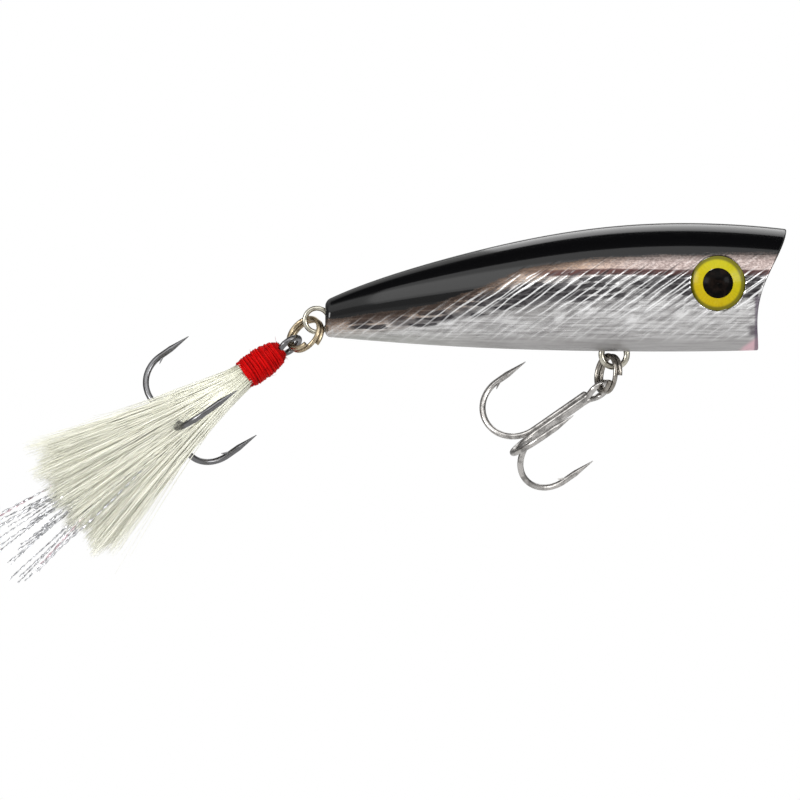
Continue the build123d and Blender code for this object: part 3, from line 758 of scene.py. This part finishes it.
def make_hair(name, node, origin, shank, up, across, fan, count, side, material, rng):
    """A tuft of hairs that leave along the shank, splay into a fan, and end unevenly. fan is in degrees."""
    steps = 11
    turn = rng.uniform(0, 2 * np.pi, count)
    ring = np.sqrt(rng.uniform(0, 1, count)) * 1.75
    u, v = ring * np.cos(turn), ring * np.sin(turn)
    middle = (fan[0] + fan[1]) / 2
    spread = rng.uniform(fan[0], fan[1], count) + rng.normal(0, 1.0, count)
    spread = np.clip(spread, fan[0] - 2.5, fan[1] + 2.5)
    u = 0.55 * u + 0.45 * 1.75 * (spread - middle) / (fan[1] - fan[0]) * 2
    tilt = np.radians(spread)
    sway = np.radians(rng.normal(0, 2.6, count) + side * 1.6)
    uneven = 1 + 0.03 * np.sin(spread * 0.9) + 0.02 * np.sin(spread * 2.3)
    long = HAIR_LONG * (1 - np.abs(rng.normal(0, 0.055, count))) * uneven
    short = rng.uniform(0, 1, count) < 0.13
    long = np.where(short, long * rng.uniform(0.55, 0.95, count), long)
    root = origin + shank * HAIR_ROOT + up * u[:, None] + across * v[:, None]
    way = shank * (np.cos(tilt) * np.cos(sway))[:, None]
    way = way + up * np.sin(tilt)[:, None] + across * np.sin(sway)[:, None]
    leave = shank * (long * 0.24)[:, None] + up * (u * 0.5)[:, None] + across * (v * 0.35)[:, None]
    paths = bend_paths(root, leave, root + unit(way) * long[:, None], steps)
    share = np.linspace(0, 1, steps)
    for direction, size in ((up, 0.16), (across, 0.2)):
        phase, beat = rng.uniform(0, 6.3, count), rng.uniform(2.5, 9.0, count)
        wave = np.sin(share[None] * beat[:, None] + phase[:, None]) - np.sin(phase)[:, None]
        paths += direction * (wave * share[None] * size * rng.uniform(0.3, 1.6, count)[:, None])[:, :, None]
    stray = rng.uniform(0, 1, count) < 0.035
    paths += up * ((stray * rng.normal(0, 1.6, count))[:, None] * share[None] ** 2)[:, :, None]
    taper = np.interp(share, [0, 0.15, 0.7, 1], [0.8, 1, 0.85, 0.28])
    radii = rng.uniform(0.05, 0.08, count)[:, None] * taper[None]
    points, quads = tubes(paths, radii, 3, unit(across + 0.3 * up))
    piece = new_mesh(name, points, quads, material)
    tone = np.clip(rng.normal(0.68, 0.24, count), 0, 1)
    point_values(piece, "tone", np.repeat(tone, steps * 3))
    point_values(piece, "run", np.tile(np.repeat(share, 3), count))
    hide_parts(node)
    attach(piece, "tail_treble")


def make_flash(origin, shank, up, across, rng):
    """Flat strands of film, each twisted so that it glints in a row of dots, past the end of the hair."""
    count, steps = 32, 110
    tilt = np.radians(rng.uniform(-8.2, 4.8, count))
    sway = np.radians(rng.normal(0, 3.6, count))
    long = FLASH_LONG * rng.uniform(0.78, 1.0, count)
    root = origin + shank * HAIR_ROOT + up * rng.uniform(-1.0, 1.0, count)[:, None]
    root = root + across * rng.uniform(-1.0, 1.0, count)[:, None]
    way = shank * np.cos(tilt)[:, None] + up * np.sin(tilt)[:, None] + across * np.sin(sway)[:, None]
    paths = bend_paths(root, shank * (long * 0.3)[:, None], root + unit(way) * long[:, None], steps)
    share = np.linspace(0, 1, steps)
    for direction in (up, across):
        phase, beat = rng.uniform(0, 6.3, count), rng.uniform(3.0, 10.0, count)
        wave = np.sin(share[None] * beat[:, None] + phase[:, None]) - np.sin(phase)[:, None]
        paths += direction * (wave * share[None] * rng.uniform(0.2, 0.9, count)[:, None])[:, :, None]
    along = unit(np.gradient(paths, axis=1))
    flat = unit(np.cross(along, up))
    other = np.cross(along, flat)
    pitch = rng.uniform(1.5, 2.6, count)
    spin = share[None] * long[:, None] / pitch[:, None] * 2 * np.pi + rng.uniform(0, 6.3, count)[:, None]
    wide = flat * np.cos(spin)[:, :, None] + other * np.sin(spin)[:, :, None]
    half = 0.15
    thin = np.cross(along, wide) * 0.012
    corners = [paths + wide * half, paths + thin, paths - wide * half, paths - thin]
    points = np.stack(corners, axis=2)
    index = np.arange(count * steps * 4).reshape(count, steps, 4)
    turned = np.roll(index, -1, axis=2)
    quads = np.stack([index[:, :-1], turned[:, :-1], turned[:, 1:], index[:, 1:]], axis=-1).reshape(-1, 4)
    piece = new_mesh("flash", points.reshape(-1, 3), quads, tinsel_finish(), smooth=False)
    point_values(piece, "tone", np.repeat(rng.uniform(0, 1, count), steps * 4))
    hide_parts("flash_strands")
    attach(piece, "tail_treble")


def make_dressing():
    origin, shank, up, across = dressing_axes()
    rng = np.random.default_rng(SEED + 1)
    make_wrap(origin, shank, up, across, rng)
    hair = hair_finish()
    make_hair("hair_upper", "hackle_upper", origin, shank, up, across, (-4.0, 14.2), 2700, -1, hair, rng)
    make_hair("hair_lower", "hackle_lower", origin, shank, up, across, (-15.2, 3.0), 2600, 1, hair, rng)
    make_flash(origin, shank, up, across, rng)


# ------------------------------------------------------------------ carried-over nodes
def dress_nodes():
    """Materials for the CAD nodes whose shape stays."""
    low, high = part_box("eye_iris_right")
    iris = iris_finish((low + high) / 2 / MM)
    pupil = pupil_finish()
    tail_tone = (0.15, 0.15, 0.155)
    hooks = nickel("hook_nickel", (0.44, 0.425, 0.41), (0.10, 0.095, 0.09), 0.16, 0.28, 0.7, tail_tone)
    rings = nickel("ring_nickel", (0.30, 0.28, 0.25), (0.09, 0.075, 0.06), 0.16, 0.28, 0.75)
    warm = nickel("ring_warm_nickel", (0.40, 0.33, 0.225), (0.12, 0.085, 0.05), 0.2, 0.34, 0.8)
    wire = nickel("hanger_wire", (0.50, 0.48, 0.41), (0.18, 0.16, 0.12), 0.16, 0.28, 0.6)
    balls = nickel("rattle_steel", (0.6, 0.6, 0.6), (0.35, 0.35, 0.35), 0.1, 0.2, 0.3)
    finishes = {
        "hanger_wire": wire,
        "eye_ring": iris,
        "eye_pupil": pupil,
        "ballast": ballast_finish(),
        "rattle_steel": balls,
        "ring_nickel": rings,
        "ring_warm_nickel": warm,
        "hook_nickel": hooks,
    }
    slots = {s["node"]: s["material_slot"] for s in frame["record"]["subparts"]}
    for node, piece in frame["nodes"].items():
        finish = finishes.get(slots[node])
        if finish is None:
            continue
        piece.data.materials.clear()
        piece.data.materials.append(finish)


# ------------------------------------------------------------------ stage
def make_floor():
    turn = np.arange(96) * 2 * np.pi / 96
    rim = [np.cos(turn) * FLOOR_RADIUS + VIEW_CENTRE[0], np.sin(turn) * FLOOR_RADIUS, 0 * turn + FLOOR_Z]
    rim = np.stack(rim, 1)
    floor = new_mesh("floor", rim, [list(range(96))], floor_finish(), smooth=False)


def make_camera():
    data = bpy.data.cameras.new("camera")
    data.sensor_width = SENSOR
    data.lens = SENSOR * VIEW_DISTANCE / VIEW_WIDTH
    data.clip_start = 0.01
    data.clip_end = 20
    camera = bpy.data.objects.new("camera", data)
    x, y, z = VIEW_CENTRE
    camera.location = (x * MM, (y - VIEW_DISTANCE) * MM, z * MM)
    camera.rotation_euler = (math.radians(90), 0, 0)
    bpy.context.scene.collection.objects.link(camera)
    bpy.context.scene.camera = camera


def make_world():
    """A white room: bright from 30 to 55 degrees up, dimmer below, a dark ceiling and a pale ground."""
    world = bpy.data.worlds.new("studio")
    bpy.context.scene.world = world
    world.use_nodes = True
    tree = world.node_tree
    tree.nodes.clear()
    out = tree.nodes.new("ShaderNodeOutputWorld")
    coord = tree.nodes.new("ShaderNodeTexCoord")
    split = tree.nodes.new("ShaderNodeSeparateXYZ")
    ramp = tree.nodes.new("ShaderNodeValToRGB")
    lift = tree.nodes.new("ShaderNodeMapRange")
    lift.inputs["From Min"].default_value = -1
    tree.links.new(coord.outputs["Generated"], split.inputs[0])
    tree.links.new(split.outputs[2], lift.inputs["Value"])
    tree.links.new(lift.outputs[0], ramp.inputs[0])
    # height as the sine of the elevation, and brightness
    bands = [
        (-1.0, 0.72),
        (-0.05, 0.8),
        (0.02, 0.75),
        (0.1, 0.5),
        (0.42, 0.5),
        (0.5, 1.2),
        (0.80, 1.3),
        (0.87, 0.08),
        (1.0, 0.05),
    ]
    ramp.color_ramp.interpolation = "EASE"
    while len(ramp.color_ramp.elements) < len(bands):
        ramp.color_ramp.elements.new(0.5)
    for element, (height, bright) in zip(ramp.color_ramp.elements, bands):
        element.position = (height + 1) / 2
        element.color = (bright, bright, bright * 0.99, 1)
    room = tree.nodes.new("ShaderNodeBackground")
    tree.links.new(ramp.outputs[0], room.inputs["Color"])
    behind = tree.nodes.new("ShaderNodeMapRange")
    behind.interpolation_type = "SMOOTHSTEP"
    for target, value in zip(list(behind.inputs)[1:5], (-0.3, 0.3, 1.0, 0.45)):
        target.default_value = value
    tree.links.new(split.outputs[1], behind.inputs["Value"])
    tree.links.new(behind.outputs[0], room.inputs["Strength"])
    white = tree.nodes.new("ShaderNodeBackground")
    white.inputs["Color"].default_value = (1, 1, 1, 1)
    white.inputs["Strength"].default_value = 1.0
    path = tree.nodes.new("ShaderNodeLightPath")
    mix = tree.nodes.new("ShaderNodeMixShader")
    tree.links.new(path.outputs["Is Camera Ray"], mix.inputs[0])
    tree.links.new(room.outputs[0], mix.inputs[1])
    tree.links.new(white.outputs[0], mix.inputs[2])
    tree.links.new(mix.outputs[0], out.inputs["Surface"])


def make_light(name, place, size, power):
    data = bpy.data.lights.new(name, "AREA")
    data.size = size * MM
    data.energy = power
    light = bpy.data.objects.new(name, data)
    light.location = Vector(place) * MM
    aim = Vector(VIEW_CENTRE) * MM - light.location
    light.rotation_euler = aim.to_track_quat("-Z", "Y").to_euler()
    bpy.context.scene.collection.objects.link(light)


make_camera()
make_body()
make_dressing()
dress_nodes()
make_floor()
make_world()
make_light("softbox", (-60, -420, 480), 620, 1.7)
make_light("left", (-640, -470, 170), 300, 3.2)
make_light("right", (480, -560, 190), 300, 2.4)
make_light("rear", (60, 420, 420), 400, 0.8)
bpy.context.scene.view_settings.view_transform = "Standard"
